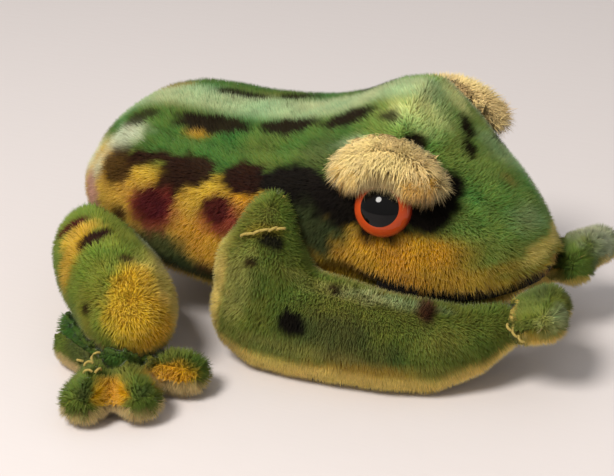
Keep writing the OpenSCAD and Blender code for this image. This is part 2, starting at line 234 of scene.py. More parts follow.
def evaluated(obj):
    """The object's mesh with its modifiers, as a plain mesh."""
    graph = bpy.context.evaluated_depsgraph_get()
    return bpy.data.meshes.new_from_object(
        obj.evaluated_get(graph), preserve_all_data_layers=True, depsgraph=graph
    )


def linked(name, me):
    obj = bpy.data.objects.new(name, me)
    bpy.context.scene.collection.objects.link(obj)
    return obj


def hull_of(nodes, voxel, rounds):
    """Points and quads of one smooth form round these CAD nodes."""
    obj = linked("form", solid_of(nodes))
    mod = obj.modifiers.new("form", "REMESH")
    mod.mode = "VOXEL"
    mod.voxel_size = voxel
    me = evaluated(obj)
    bpy.data.objects.remove(obj)
    co = np.empty(len(me.vertices) * 3)
    me.vertices.foreach_get("co", co)
    quads = np.empty(len(me.loops), np.int32)
    me.loops.foreach_get("vertex_index", quads)
    co, quads = largest(co.reshape(-1, 3), quads.reshape(-1, 4))
    return relaxed(co, quads, rounds), quads


def sunk(co, quads, depth):
    """The form set in by a depth, which may differ from point to point."""
    steps = 4
    for _ in range(steps):
        co = co - normals_of(co, quads) * (depth / steps)
        co = relaxed(co, quads, 1)
    return co


def thickness(co, quads):
    """How thick the form is under each point, evened out a little."""
    tree = BVHTree.FromPolygons(co.tolist(), quads.tolist())
    way = -normals_of(co, quads)
    hits = [tree.ray_cast(Vector(p), Vector(d))[3] for p, d in zip(co + way * 1e-5, way)]
    thick = np.array([0.0 if h is None else h for h in hits])
    e = edges_of(quads)
    count = np.bincount(e.ravel(), minlength=len(co)) + 1
    for _ in range(8):
        near = np.bincount(e[:, 0], thick[e[:, 1]], len(co))
        near += np.bincount(e[:, 1], thick[e[:, 0]], len(co))
        thick = (near + thick) / count
    return thick


def kept_inside(co, quads, outer, room):
    """Moves points until they lie deeper than this room under the outer form."""
    tree = BVHTree.FromPolygons(outer[0].tolist(), outer[1].tolist())
    for _ in range(6):
        found = [tree.find_nearest(Vector(p)) for p in co]
        spot = np.array([f[0] for f in found])
        way = np.array([f[1] for f in found])
        deep = -((co - spot) * way).sum(1)
        co = relaxed(co - way * np.maximum(room - deep, 0)[:, None], quads, 2)
    return co


def nearest_node(places, nodes):
    """For each place, which of these CAD nodes is nearest."""
    far = []
    for n in nodes:
        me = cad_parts[n].data
        tree = BVHTree.FromPolygons(
            [v.co for v in me.vertices], [p.vertices for p in me.polygons]
        )
        far.append([tree.find_nearest(Vector(p))[3] for p in places])
    return np.array(far).argmin(0)


def shelled(co, quads, normal, cloth):
    """A patch of cloth with its inner face and its edge.
    Gives points, quads, and the outer point that goes with each point."""
    n = len(co)
    pairs = np.concatenate([quads[:, [k, (k + 1) % 4]] for k in range(4)]).astype(np.int64)
    there, back = pairs[:, 0] * n + pairs[:, 1], pairs[:, 1] * n + pairs[:, 0]
    rim = pairs[~np.isin(there, back)]
    wall = np.stack([rim[:, 1], rim[:, 0], rim[:, 0] + n, rim[:, 1] + n], 1)
    inner = quads[:, ::-1] + n
    return (
        np.concatenate([co, co - normal * cloth]),
        np.concatenate([quads, inner, wall]),
        np.tile(np.arange(n), 2),
    )


def patch(co, quads, chosen, *more):
    """The chosen quads alone, with the rows of more that go with their points."""
    quads = quads[chosen]
    used = np.unique(quads)
    place = np.zeros(len(co), np.int64)
    place[used] = np.arange(len(used))
    return (co[used], place[quads], *(m[used] for m in more))


def store(me, name, kind, values):
    layer = me.attributes.new(name, kind, "POINT")
    field = {"FLOAT": "value", "FLOAT_VECTOR": "vector"}[kind]
    layer.data.foreach_set(field, np.ascontiguousarray(values, np.float32).ravel())


def cloth_object(name, co, quads, tint, lay, cover, tall):
    """The cloth as an object that carries what its pile needs."""
    me = bpy.data.meshes.new(name)
    me.from_pydata(co.tolist(), [], quads.tolist())
    me.update()
    store(me, "tint", "FLOAT_VECTOR", tint)
    store(me, "lay", "FLOAT_VECTOR", lay)
    store(me, "cover", "FLOAT", cover)
    store(me, "tall", "FLOAT", tall)
    obj = linked(name, me)
    bpy.ops.object.select_all(action="DESELECT")
    obj.select_set(True)
    bpy.context.view_layer.objects.active = obj
    me.uv_layers.new(name="OFBake")
    bpy.ops.object.mode_set(mode="EDIT")
    bpy.ops.mesh.select_all(action="SELECT")
    bpy.ops.uv.smart_project(angle_limit=1.15, island_margin=0.004)
    bpy.ops.object.mode_set(mode="OBJECT")
    return obj


# ---------------------------------------------------------------- pile


class Sketch:
    """Adds nodes to a tree. An input is a value, or the socket that feeds it."""

    def __init__(self, tree):
        self.tree = tree

    def feed(self, node, inputs):
        for key, value in inputs.items():
            socket = node.inputs[key]
            if isinstance(value, bpy.types.NodeSocket):
                self.tree.links.new(value, socket)
            else:
                socket.default_value = value

    def add(self, kind, inputs=None, **settings):
        node = self.tree.nodes.new(kind)
        for name, value in settings.items():
            setattr(node, name, value)
        self.feed(node, inputs or {})
        return node

    def math(self, operation, *values):
        inputs = dict(enumerate(values))
        return self.add("ShaderNodeMath", inputs, operation=operation).outputs[0]

    def vector(self, operation, *values):
        inputs = dict(enumerate(values))
        node = self.add("ShaderNodeVectorMath", inputs, operation=operation)
        return node.outputs[0]

    def scaled(self, vector, factor):
        inputs = {"Vector": vector, "Scale": factor}
        return self.add("ShaderNodeVectorMath", inputs, operation="SCALE").outputs[0]

    def held(self, name, kind="FLOAT"):
        node = self.add("GeometryNodeInputNamedAttribute", {"Name": name}, data_type=kind)
        return node.outputs["Attribute"]

    def keep(self, geometry, name, value, kind, domain):
        inputs = {"Geometry": geometry, "Name": name, "Value": value}
        node = self.add(
            "GeometryNodeStoreNamedAttribute", inputs, data_type=kind, domain=domain
        )
        return node.outputs[0]

    def chance(self, low, high, seed, kind="FLOAT"):
        first, out = {"FLOAT_VECTOR": (0, 0), "FLOAT": (2, 1)}[kind]
        inputs = {first: low, first + 1: high, "Seed": seed}
        return self.add("FunctionNodeRandomValue", inputs, data_type=kind).outputs[out]

    def where(self):
        return self.add("ShaderNodeTexCoord").outputs["Object"]

    def marked(self, name, output="Fac"):
        return self.add("ShaderNodeAttribute", attribute_name=name).outputs[output]

    def noise(self, where, scale, **more):
        inputs = {"Vector": where, "Scale": scale, **more}
        return self.add("ShaderNodeTexNoise", inputs).outputs["Fac"]

    def ranged(self, value, *ends):
        """A value carried over from one range to another."""
        inputs = dict(enumerate((value, *ends)))
        return self.add("ShaderNodeMapRange", inputs).outputs[0]


PILE_INPUTS = (
    ("Density", "NodeSocketFloat", 1.0e6),
    ("Length", "NodeSocketFloat", 0.0046),
    ("Foot", "NodeSocketFloat", 0.0003),
    ("Scatter", "NodeSocketFloat", 0.4),
    ("Segments", "NodeSocketInt", 1),
    ("Seed", "NodeSocketInt", 1),
    ("Finish", "NodeSocketMaterial", None),
)


def new_tree(title, geometry, inputs):
    """A node tree with named inputs, its sketch and what it is given."""
    tree = bpy.data.node_groups.new(title, "GeometryNodeTree")
    face = tree.interface
    face.new_socket(geometry, in_out="INPUT", socket_type="NodeSocketGeometry")
    for name, kind, value in inputs:
        socket = face.new_socket(name, in_out="INPUT", socket_type=kind)
        if value is not None:
            socket.default_value = value
    face.new_socket("Made", in_out="OUTPUT", socket_type="NodeSocketGeometry")
    s = Sketch(tree)
    return tree, s, s.add("NodeGroupInput").outputs


def ended(tree, s, geometry, finish):
    """Ends a tree: its instances made real, with their material."""
    real = s.add("GeometryNodeRealizeInstances", {"Geometry": geometry})
    done = s.add(
        "GeometryNodeSetMaterial", {"Geometry": real.outputs[0], "Material": finish}
    )
    out = s.add("NodeGroupOutput")
    tree.links.new(done.outputs[0], out.inputs[0])
    return tree


def apply_nodes(obj, tree, values):
    """Makes an object's mesh what the tree makes of it."""
    ids = {i.name: i.identifier for i in tree.interface.items_tree if i.in_out == "INPUT"}
    mod = obj.modifiers.new("nodes", "NODES")
    mod.node_group = tree
    for name, value in values.items():
        mod[ids[name]] = value
    me = evaluated(obj)
    obj.modifiers.remove(mod)
    old = obj.data
    obj.data = me
    bpy.data.meshes.remove(old)
    me.name = obj.name


def pile_tree():
    """Locks of pile that stand on the cloth and lean as its lay says."""
    tree, s, given = new_tree("mohair pile", "Cloth", PILE_INPUTS)
    density = s.math("MULTIPLY", given["Density"], s.held("cover"))
    strewn = s.add(
        "GeometryNodeDistributePointsOnFaces",
        {"Mesh": given["Cloth"], "Density": density, "Seed": given["Seed"]},
    )
    points = s.keep(
        strewn.outputs["Points"], "skin", strewn.outputs["Normal"], "FLOAT_VECTOR", "POINT"
    )
    minus = s.math("MULTIPLY", given["Scatter"], -1.0)
    low = s.add("ShaderNodeCombineXYZ", {0: minus, 1: minus, 2: minus}).outputs[0]
    high = s.scaled(low, -1.0)
    stray = s.chance(low, high, given["Seed"], "FLOAT_VECTOR")
    way = s.vector("ADD", strewn.outputs["Normal"], s.held("lay", "FLOAT_VECTOR"))
    way = s.vector("NORMALIZE", s.vector("ADD", way, stray))
    turn = s.add("FunctionNodeAlignRotationToVector", {"Vector": way}, axis="Z")
    other = s.math("ADD", given["Seed"], 5.0)
    tall = s.math("MULTIPLY", given["Length"], s.chance(0.78, 1.12, other))
    tall = s.math("MULTIPLY", tall, s.held("tall"))
    size = s.add("ShaderNodeCombineXYZ", {0: given["Foot"], 1: given["Foot"], 2: tall})
    cone = s.add(
        "GeometryNodeMeshCone",
        {
            "Vertices": 3,
            "Side Segments": given["Segments"],
            "Radius Top": 0.0,
            "Radius Bottom": 1.0,
            "Depth": 1.0,
        },
        fill_type="NGON",
    )
    up = s.add("ShaderNodeSeparateXYZ", {0: s.add("GeometryNodeInputPosition").outputs[0]})
    lock = s.keep(cone.outputs["Mesh"], "along", up.outputs["Z"], "FLOAT", "POINT")
    locks = s.add(
        "GeometryNodeInstanceOnPoints",
        {
            "Points": points,
            "Instance": lock,
            "Rotation": turn.outputs["Rotation"],
            "Scale": size.outputs[0],
        },
    )
    third = s.math("ADD", given["Seed"], 9.0)
    marked = s.keep(
        locks.outputs[0], "strand", s.chance(0.0, 1.0, third), "FLOAT", "INSTANCE"
    )
    both = s.add("GeometryNodeJoinGeometry")
    tree.links.new(marked, both.inputs[0])
    tree.links.new(given["Cloth"], both.inputs[0])
    return ended(tree, s, both.outputs[0], given["Finish"])


def read(me, name, width):
    values = np.empty(len(me.vertices) * width, np.float32)
    field = {1: "value", 3: "vector"}[width]
    me.attributes[name].data.foreach_get(field, values)
    return values.reshape(-1, width) if width > 1 else values


def grown(obj, locks, tall, foot, segments, finish, droop, scatter):
    """Grows the pile on a cloth object and makes it one plain mesh."""
    pile = bpy.context.scene.frog_pile
    skin = obj.data
    skin.calc_loop_triangles()
    cover = read(skin, "cover", 1)
    area = sum(p.area * cover[list(p.vertices)].mean() for p in skin.polygons)
    tree = bpy.data.node_groups.get("mohair pile") or pile_tree()
    values = {
        "Density": locks / area,
        "Length": tall,
        "Foot": foot,
        "Scatter": scatter,
        "Segments": segments,
        "Seed": pile.seed,
        "Finish": finish,
    }
    cloth_points = len(skin.vertices)
    apply_nodes(obj, tree, values)
    settle(obj.data, cloth_points, np.array(droop) * tall)
    return obj


def settle(me, cloth_points, droop):
    """Bends the locks, keeps them above the table, and turns their shading to the cloth."""
    along = read(me, "along", 1)
    lead = read(me, "skin", 3)
    co = np.empty(len(me.vertices) * 3)
    me.vertices.foreach_get("co", co)
    co = co.reshape(-1, 3)
    root = np.arange(len(co)) < cloth_points
    along[root] = 0
    co += along[:, None] ** 2 * droop
    co[:, 2] = np.maximum(co[:, 2], 0.1 * MM)
    own = np.empty(len(co) * 3)
    me.vertex_normals.foreach_get("vector", own)
    own = own.reshape(-1, 3)
    me.vertices.foreach_set("co", co.ravel())
    mixed = unit(np.where(root[:, None], own, 0.75 * lead + 0.25 * own))
    me.shade_smooth()
    me.normals_split_custom_set_from_vertices(mixed.tolist())
    layer = me.uv_layers["OFBake"].data
    uv = np.empty(len(layer) * 2, np.float32)
    layer.foreach_get("uv", uv)
    uv = uv.reshape(-1, 2)
    corner = np.empty(len(me.loops), np.int32)
    me.loops.foreach_get("vertex_index", corner)
    step = 0.002 * np.array([[0, 0], [1, 0], [0, 1], [1, 1]], np.float32)
    loose = corner >= cloth_points
    uv[loose] += step[(corner[loose] - cloth_points) % 4]
    layer.foreach_set("uv", uv.ravel())
    me.attributes.remove(me.attributes["skin"])
    for name in ("lay", "cover", "tall"):
        me.attributes.remove(me.attributes[name])
    me.update()


# ---------------------------------------------------------------- colours

# One spray of dye: colour, place, reach along it, half width across it (mm), softness and
# strength. The places of the back are its own, the others are those of the right side.
BACK_SPRAYS = (
    ("mist", (-69, -25, 65), (9, -2, 4), 6.5, 0.9, 0.65),
    ("mist", (-66, 28, 66), (9, 0, 4), 6.0, 0.8, 0.6),
    ("fresh", (38, -13, 84), (9, 4, -2), 6.5, 1.2, 0.65),
    ("fresh", (32, -16, 86), (6, 2, 0), 3.0, 1.0, 0.5),
    ("fresh", (40, 10, 83), (7, -4, -2), 5.5, 0.9, 0.7),
    ("pale_and_sheen", (18, -28, 78), (7, 0, 2), 3.0, 0.9, 0.6),
    # Painted sheen: light green along the right edge of the head and on the snout, where the
    # pile catches the light at its rim.
    ("pale_and_sheen", (60, 12, 65), (8, 8, -8), 7.0, 1.0, 0.5),
    ("pale_and_sheen", (72, -4, 50), (3, 8, -3), 5.0, 1.0, 0.4),
    ("shade", (9, -28, 72), (8, 0, 2), 7.0, 0.9, 0.6),
    ("spot", (-65, -18, 70), (7.5, 1, 2), 3.6, 0.3, 0.85),
    ("tan", (-40, -23, 70), (4.5, 0, 0), 2.4, 0.9, 0.7),
    ("spot", (-37, -18, 72), (14, 1, 0), 5.6, 0.25, 1.0),
    ("spot", (-10, -15, 74), (10.5, 1, 1), 5.4, 0.25, 1.0),
    ("spot", (12, -16, 81), (9, 0, 4), 4.6, 0.25, 1.0),
    ("spot", (28, -19, 85), (3.4, 0, 0), 2.8, 0.4, 0.9),
    ("spot", (39, -22, 79), (4, 1.5, -1), 2.6, 0.3, 1.0),
    ("olive", (-65, 10, 72), (8, 1, 1), 3.0, 0.4, 0.9),
    ("spot", (-39, 9, 73), (10, 1, 0), 3.4, 0.3, 0.95),
    ("spot", (-19, 14, 73), (8, 1.5, 0), 3.4, 0.3, 0.95),
    ("spot", (12, 16, 81), (8, 0, 4), 4.0, 0.3, 0.95),
    ("spot", (49, 0, 78), (2, -3.5, -3), 3.2, 0.3, 1.0),
    ("spot", (52, -7, 73), (1.2, -3, -3.4), 2.8, 0.3, 1.0),
    ("spot", (54, 15, 69), (1, 2.4, -1), 2.2, 0.4, 0.95),
    ("olive", (65, -2, 62), (3, 1, -2), 2.4, 0.6, 0.6),
)
SIDE_SPRAYS = (
    ("ochre", (-25, -43, 38), (15, 0, 0), 8.5, 0.9, 0.8),
    ("shade", (-47, -42, 31), (12, 0, -4), 8.5, 0.8, 0.95),
    ("shade", (-34, -41, 24), (15, 0, -3), 6.0, 0.8, 0.95),
    ("shade", (-18, -44, 22), (16, 0, -2), 5.0, 0.7, 0.9),
    ("mist", (-80, -29, 56), (2, -3, 10), 5.0, 0.8, 0.7),
    ("mist", (-91, -17, 54), (2, -8, 9), 9.0, 0.9, 0.85),
    ("pink", (-83, -27, 41), (3, -4, -7), 6.5, 0.8, 0.9),
    ("yellow", (-56, -38, 54.5), (5, 0.5, 3), 4.4, 0.5, 0.95),
    ("yellow", (-32, -41, 54), (8, 0, 3), 5.5, 0.6, 0.95),
    ("yellow", (-26, -39, 59), (2, -1, -4), 3.0, 0.5, 0.9),
    ("brown", (-68, -34, 57), (9.5, -1.5, 4), 7.0, 0.4, 0.9),
    ("brown", (-57, -35, 62.5), (6.5, 0, 1.5), 3.2, 0.3, 1.0),
    ("brown", (-48, -35, 64.5), (6, 0, 0), 2.2, 0.4, 1.0),
    ("brown", (-37, -37, 61.5), (10, 0, 1.5), 6.0, 0.25, 1.0),
    ("brown", (-44, -40, 54), (3.5, 0.5, 7.5), 5.0, 0.35, 1.0),
    ("crimson", (-50, -41, 46), (10, 0, 3), 8.0, 0.7, 0.9),
    ("maroon", (-50, -41, 47.5), (7, 0, 3), 6.4, 0.6, 1.0),
    ("brown", (-66, -39, 40), (5, 0, -1), 3.8, 0.5, 0.95),
    ("crimson", (-22.5, -43, 49), (7.5, 0, -1.5), 7.4, 0.6, 0.95),
    ("maroon", (-24.5, -42, 51), (5, 0, 1), 5.0, 0.4, 1.0),
    ("ochre", (-15, -40, 57), (4, 0, 0), 3.4, 0.7, 0.8),
    ("brown", (-16, -37, 62.5), (8.5, 0, 1), 6.2, 0.25, 1.0),
    ("maroon", (-30, -42, 27), (5, 0, 0), 2.6, 0.7, 0.7),
    ("black", (3, -37, 63.5), (14, 0, 0), 6.6, 0.3, 1.0),
    ("black", (7, -40, 57), (9, 0, -1), 7.0, 0.5, 1.0),
    ("shade", (13, -42, 49), (10, 0, -5), 8.0, 0.8, 1.0),
    ("black", (13, -42, 48), (9, 0, -5), 6.0, 0.9, 0.4),
    ("ochre", (39, -39, 45.5), (18, 4, 0), 6.5, 0.6, 0.95),
    ("tan", (24, -41, 41), (6, 0, -3), 4.5, 0.7, 0.9),
    ("tan", (41, -40, 36.5), (18, 4, -2), 3.2, 0.6, 0.95),
    ("tan", (66, -25, 38.5), (9, 8, 1), 2.4, 0.8, 0.55),
    ("cream", (78, -8, 41), (2, 9, 1), 3.4, 0.8, 0.7),
    ("brown", (44, -38, 33), (22, 7, 1), 1.6, 0.9, 0.6),
    ("black", (20, -40, 60), (10, 0, 0), 8.0, 0.4, 1.0),
    ("black", (33.5, -42, 61), (12.4, 0, 0), 12.4, 0.25, 1.0),
    ("black", (47, -33, 57.5), (7, 5, 0), 6.0, 0.45, 1.0),
    ("black", (51, -27, 61.5), (1.5, 3, 5), 5.0, 0.45, 1.0),
    ("black", (52, -22, 66), (1.5, 3.5, 3), 5.0, 0.45, 1.0),
)
ARM_SPRAYS = (
    ("moss", (-10, -58, 33), (5, 0, 13), 7.0, 0.9, 0.8),
    ("moss", (15, -61, 16), (24, 1, 1), 4.0, 0.9, 0.5),
    # Painted highlight: moss and light green along the top edge of the arm, where light falls
    # on it.
    ("moss", (26, -52, 37), (18, 4, -3), 3.5, 0.9, 0.7),
    ("pale_and_sheen", (40, -48, 36), (18, 6, -3), 3.6, 1.0, 0.5),
    ("green", (60, -51, 22), (10, 5, 1), 8.0, 1.0, 0.4),
    ("ochre", (-2, -54, 53), (8, 2, 1), 2.4, 1.0, 0.2),
    ("shade", (24, -60, 24), (15, 1, 1), 6.0, 0.9, 0.7),
    ("shade", (36, -58, 17), (14, 2, 0), 5.0, 0.9, 0.5),
    ("tan", (38, -57, 9), (22, 2, 0), 4.0, 0.9, 0.6),
    ("black", (11, -61, 25), (4.6, 0, 0), 4.8, 0.45, 1.0),
    ("brown", (-4, -59, 43), (2.6, 0, 0), 2.2, 0.5, 0.9),
    ("brown", (23, -52, 36), (1, -1, -2.4), 1.8, 0.5, 0.9),
    ("maroon", (52, -44, 33), (1.6, -6, -3), 3.6, 0.9, 0.9),
    ("brown", (54, -45.5, 32.5), (1, -5, -3), 2.4, 0.8, 0.9),
    ("black", (3, -55, 50), (5.5, 2, -1), 2.6, 0.5, 0.95),
)
HAND_SPRAYS = (
    ("moss", (89, -36, 30), (4, 2, 2), 4.5, 0.9, 0.7),
    ("ochre", (88, -33, 23), (6, 4, 0), 4.5, 0.8, 0.8),
    ("shade", (84, -24, 34), (5, 2, 0), 4.0, 0.9, 0.6),
    # Painted sheen: a light green rim on the fingers, where the pile catches the light.
    ("pale_and_sheen", (92, -33, 31), (4, 4, 4), 4.0, 1.0, 0.5),
)
FAR_HAND_SPRAYS = (("mist", (88, -30, 30), (12, 7, 4), 10.0, 1.0, 0.5),)
THIGH_SPRAYS = (
    ("yellow", (-72, -54, 39), (6, 5, 4), 5.0, 0.7, 0.9),
    ("yellow", (-69, -63, 33), (3, 8, 10), 5.0, 0.7, 0.9),
    ("amber", (-38, -77, 34), (1, 13, 11), 7.0, 0.8, 0.9),
    ("amber", (-27, -79, 26), (3, 10, 14), 9.5, 0.8, 0.9),
    ("ochre", (-25, -76, 19), (3, 10, 6), 5.5, 0.9, 0.8),
    ("maroon", (-77, -48, 38), (6, 2.5, 4.5), 3.0, 0.5, 1.0),
    ("brown", (-63, -57, 41), (4.4, 6, 2.5), 3.4, 0.5, 1.0),
    ("brown", (-45, -66, 41), (3.4, -1, 0), 2.6, 0.5, 0.9),
    ("brown", (-31, -72, 37), (3, -1, -2), 2.0, 0.9, 0.6),
    ("brown", (-53, -82, 27), (2.4, -1, 0), 2.2, 0.5, 0.9),
)
FOOT_SPRAYS = (
    ("shade", (-52, -84, 15), (10, -4, 0), 9.0, 0.9, 0.7),
    ("ochre", (-32, -103, 12), (4, -7, 0), 5.0, 0.8, 0.95),
    ("ochre", (-18, -86, 13), (9, 2, 0), 6.0, 0.8, 0.95),
    ("shade", (-38, -109, 16), (3, -3, 0), 4.0, 0.9, 0.6),
    ("shade", (-20, -101, 16), (3, -3, 0), 4.0, 0.9, 0.6),
)
BROW_SPRAYS = (
    ("ochre", (20, -42, 69), (6, -2, 1), 3.4, 1.0, 0.75),
    ("ochre", (46, -38, 68), (5, 3, -2), 4.0, 1.0, 0.8),
    ("tan", (34, -46, 71), (8, 0, 0), 2.4, 1.0, 0.5),
    # Painted shade: a dark brown line along the inner lower edge of the eyelid, where shade
    # falls under it.
    ("brown", (50, -33, 68), (2, 3, -2), 2.6, 1.0, 0.5),
)


def dyes():
    held = bpy.context.scene.frog_dyes
    return {k: np.array(getattr(held, k)) for k in FrogDyes.__annotations__}


def mixed(colour, dyed, share):
    return colour + (dyed - colour) * share[:, None]


def sprayed(colour, at, sprays, side):
    """Adds sprays of dye. Places are in millimetres, side is -1 on the right."""
    tones = dyes()
    x, y, z = at.T
    ragged = np.sin(0.9 * x + 0.7 * z) + np.sin(1.1 * y - 0.8 * x + 1.7)
    ragged = 1 + 0.07 * (ragged + np.sin(1.3 * z + 0.5 * y + 0.4 * x))
    for name, place, reach, half, soft, strength in sprays:
        flip = np.array([1, -side, 1])
        off = at - np.array(place) * flip
        reach = np.array(reach) * flip
        size = np.linalg.norm(reach)
        lengthways = off @ reach / size
        across = np.sqrt(np.maximum((off**2).sum(1) - lengthways**2, 0))
        far = np.hypot(lengthways / size, across / half) * ragged
        colour = mixed(colour, tones[name], strength * smooth(1 + soft / 2, 1 - soft / 2, far))
    return colour


# How far down the green of the back comes: place along the frog and height (mm)
GREEN_EDGE = (
    (-95, 50), (-85, 56), (-75, 62), (-60, 61), (-20, 61), (2, 61),
    (15, 60), (35, 55), (55, 51), (70, 46), (80, 44),
)


def body_tint(at, normal):
    """Colour of the body's pile at places in millimetres."""
    c = dyes()
    x, y, z = at.T
    edge = np.interp(x, *zip(*GREEN_EDGE))
    ground = mixed(np.tile(c["deep"], (len(at), 1)), c["green"], smooth(12, 32, x))
    colour = np.tile(c["gold"], (len(at), 1))
    colour = mixed(colour, ground, smooth(edge - 4, edge + 3, z))
    # Painted highlight: the pile along the top of the back is made lighter, as if lit from
    # above.
    spine = smooth(15, 4, abs(y)) * smooth(58, 66, z) * smooth(50, 30, x)
    colour = mixed(colour, c["pale_and_sheen"], 0.8 * spine)
    snout = smooth(54, 68, x) * smooth(33, 39, z)
    colour = mixed(colour, c["green"], 0.85 * snout)
    below = smooth(-0.35, -0.75, normal[:, 2])
    lip = smooth(2, 12, x) * smooth(24, 28, z)
    colour = mixed(colour, c["cream"], below * (1 - lip))
    colour = mixed(colour, c["tan"], below * lip)
    chin = smooth(34, 30, z) * smooth(10, 25, x)
    colour = mixed(colour, c["leaf"], 0.6 * chin * (1 - below))
    colour = sprayed(colour, at, BACK_SPRAYS, -1)
    for _, side in SIDES:
        colour = sprayed(colour, at, SIDE_SPRAYS, side)
    return colour


def limb_tint(at, side, ground, under, sprays, bare="cream"):
    """Colour of a limb's pile: ground, sprays, and the paler cloth of its hidden side."""
    c = dyes()
    colour = np.tile(c[ground], (len(at), 1))
    colour = sprayed(colour, at, sprays, side)
    return mixed(colour, c[bare], under)


# ---------------------------------------------------------------- finishes


def finish_of(name):
    """A new material, its sketch and its shader."""
    mat = bpy.data.materials.new(name)
    mat.use_nodes = True
    s = Sketch(mat.node_tree)
    shader = mat.node_tree.nodes["Principled BSDF"]
    return mat, s, shader


def mohair(name, root, sheen):
    """Pile whose colour is dyed in, with painted shade that darkens it towards the root, each
    lock a little different.
    """
    mat, s, shader = finish_of(name)
    where = s.where()
    tint = s.marked("tint", "Color")
    strand = s.marked("strand")
    along = s.marked("along")
    mottle = s.noise(where, 170.0, Detail=3.0)
    patchy = s.ranged(mottle, 0.3, 0.7, 0.8, 1.18)
    own = s.ranged(strand, 0.0, 1.0, 0.82, 1.18)
    # Painted shade: the cloth and the lower part of each lock are darkened by the root factor,
    # for the shade deep in the pile; the tips end a little lighter.
    deep = s.ranged(along, 0.0, 0.9, root, 1.15)
    value = s.math("MULTIPLY", s.math("MULTIPLY", patchy, own), deep)
    drift = s.noise(where, 55.0, Detail=2.0)
    other = s.math("FRACT", s.math("MULTIPLY", strand, 13.7))
    turned = s.math("ADD", s.math("MULTIPLY", drift, 0.2), s.math("MULTIPLY", other, 0.05))
    parts = s.add("ShaderNodeSeparateColor", {0: tint}).outputs
    greener = s.math("SUBTRACT", parts["Green"], parts["Red"])
    green = s.ranged(greener, -0.03, 0.05, 0.25, 1.0)
    hue = s.math("MULTIPLY_ADD", s.math("SUBTRACT", turned, 0.125), green, 0.5)
    worn = s.ranged(along, 0.5, 1.0, 1.0, 0.86)
    dyed = {"Hue": hue, "Saturation": worn, "Value": value, "Color": tint}
    finish = {
        "Base Color": s.add("ShaderNodeHueSaturation", dyed).outputs[0],
        "Roughness": s.ranged(strand, 0.0, 1.0, 0.62, 0.9),
        "Specular IOR Level": 0.1,
        "Sheen Weight": sheen,
        "Sheen Roughness": 0.25,
        "Sheen Tint": (0.9, 1.0, 0.85, 1.0),
    }
    s.feed(shader, finish)
    return mat


def glass(name, colour, rim, reach):
    """Polished glass over paint, darker towards its edge."""
    mat, s, shader = finish_of(name)
    cloudy = s.noise(s.where(), 500.0, Detail=2.0)
    edge = s.ranged(s.marked("out"), reach, 1.0, 0.0, 1.0)
    drift = s.math("MULTIPLY", cloudy, 0.25)
    share = s.add("ShaderNodeMath", {0: edge, 1: drift}, operation="ADD", use_clamp=True)
    mix = s.add("ShaderNodeMix", {"Factor": share.outputs[0]}, data_type="RGBA")
    for socket in mix.inputs:
        if socket.type == "RGBA":
            socket.default_value = (*(colour if socket.identifier.startswith("A") else rim), 1)
    finish = {
        "Base Color": next(o for o in mix.outputs if o.type == "RGBA"),
        "Roughness": s.ranged(cloudy, 0.3, 0.7, 0.03, 0.07),
        "IOR": 1.5,
        "Specular IOR Level": 0.2,
    }
    s.feed(shader, finish)
    return mat


def fibrous(name, colour, dark, scale, bump):
    """Felt, wadding or thread: short fibres in two tones."""
    mat, s, shader = finish_of(name)
    fibre = s.noise(s.where(), scale, Detail=6.0, Roughness=0.7)
    ramp = s.add("ShaderNodeValToRGB", {"Fac": fibre})
    for end, place, tone in zip(ramp.color_ramp.elements, (0.35, 0.65), (dark, colour)):
        end.position = place
        end.color = (*tone, 1)
    relief = {"Height": fibre, "Strength": 0.6, "Distance": bump}
    finish = {
        "Base Color": ramp.outputs[0],
        "Roughness": s.ranged(fibre, 0.0, 1.0, 0.8, 1.0),
        "Normal": s.add("ShaderNodeBump", relief).outputs[0],
        "Sheen Weight": 0.04,
        "Specular IOR Level": 0.15,
    }
    s.feed(shader, finish)
    return mat


def wire(name):
    """Drawn steel wire with fine streaks."""
    mat, s, shader = finish_of(name)
    streak = s.noise(s.where(), 3000.0)
    tone = s.add("ShaderNodeValToRGB", {"Fac": streak})
    for end, level in zip(tone.color_ramp.elements, (0.3, 0.5)):
        end.color = (level, level, level, 1)
    finish = {
        "Base Color": tone.outputs[0],
        "Roughness": s.ranged(streak, 0.0, 1.0, 0.25, 0.45),
        "Metallic": 1.0,
    }
    s.feed(shader, finish)
    return mat


def shared(name, make, *args):
    return bpy.data.materials.get(name) or make(name, *args)


# ---------------------------------------------------------------- pieces


def plush(name, nodes, body, slot, co, quads, tint, lay, cover, tall, locks, **more):
    """One stuffed piece: its cloth, its pile, and what it stands for."""
    pile = bpy.context.scene.frog_pile
    obj = cloth_object(name, co, quads, tint, lay * pile.lean, cover, tall)
    # 0.62 is the painted shade at the root of the pile.
    finish = shared(more.get("finish", "mohair"), mohair, 0.62, 0.1)
    grown(
        obj,
        locks,
        more.get("length", pile.length),
        more.get("foot", pile.foot),
        more.get("segments", 1),
        finish,
        more.get("droop", (0, 0, -0.06)),
        more.get("scatter", pile.scatter),
    )
    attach(obj, body)
    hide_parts(*nodes)
    return obj


def filled(name, node, co, quads, finish):
    """A plain soft piece without pile."""
    me = bpy.data.meshes.new(name)
    me.from_pydata(co.tolist(), [], quads.tolist())
    me.shade_smooth()
    me.materials.append(finish)
    obj = linked(name, me)
    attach(obj, "body")
    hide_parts(node)


def body_lay(at, normal):
    """The pile of the body is brushed back and down."""
    way = np.tile([-0.30, 0.0, -0.42], (len(at), 1))
    head = smooth(10, 40, at[:, 0])[:, None]
    top = smooth(0.4, 0.8, normal[:, 2])[:, None]
    crown = (1 - top) * np.array([0.05, 0.0, -0.45]) + top * np.array([-0.42, 0.0, -0.1])
    way = way * (1 - head) + crown * head
    return way - normal * (way * normal).sum(1)[:, None]


